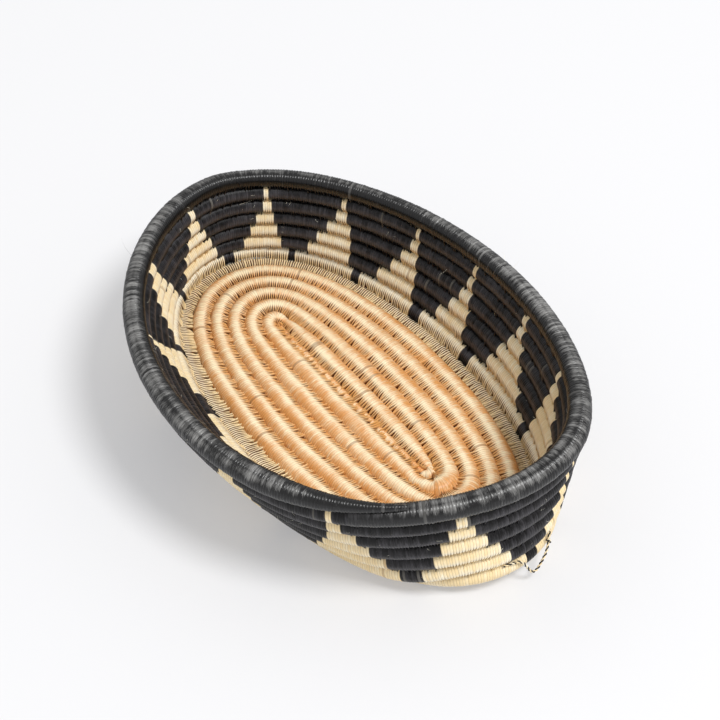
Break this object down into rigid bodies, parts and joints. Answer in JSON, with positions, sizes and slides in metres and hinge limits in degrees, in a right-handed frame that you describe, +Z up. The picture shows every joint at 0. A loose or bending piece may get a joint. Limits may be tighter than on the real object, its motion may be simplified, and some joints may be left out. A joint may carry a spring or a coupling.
{
  "type": "oval coiled basket",
  "caption": "Shallow oval basket sewn from one spiralling coil, with flared patterned sides, a thicker rim and a small cord loop for hanging.",
  "frame": {"origin": "on the ground under the middle of the coils' bounding box", "axes": "+X along the oval towards the end with the hanging loop, +Z up"},
  "size_m": [0.2688, 0.189, 0.0792],
  "materials": {
    "tan_straw": "satin natural straw dyed tan",
    "cream_straw": "satin natural straw",
    "patterned_straw": "satin straw, black with cream stepped triangles",
    "black_straw": "glossy black straw",
    "twisted_cord": "twisted black and cream cord"
  },
  "bodies": {
    "basket": {"floor_coil": "tan_straw", "foot_coil": "cream_straw", "wall_coil": "patterned_straw", "rim_coil": "black_straw", "loop_end_left": "twisted_cord", "loop_end_right": "twisted_cord"},
    "loop": {"hanging_loop": "twisted_cord"}
  },
  "joints": [
    {"name": "loop_swing", "type": "hinge", "parent": "basket", "child": "loop", "pos_m": [0.12717, 0.01038, 0.01595], "axis": [0.199, -0.9799, -0.0122], "range_deg": [0, 90]}
  ]
}
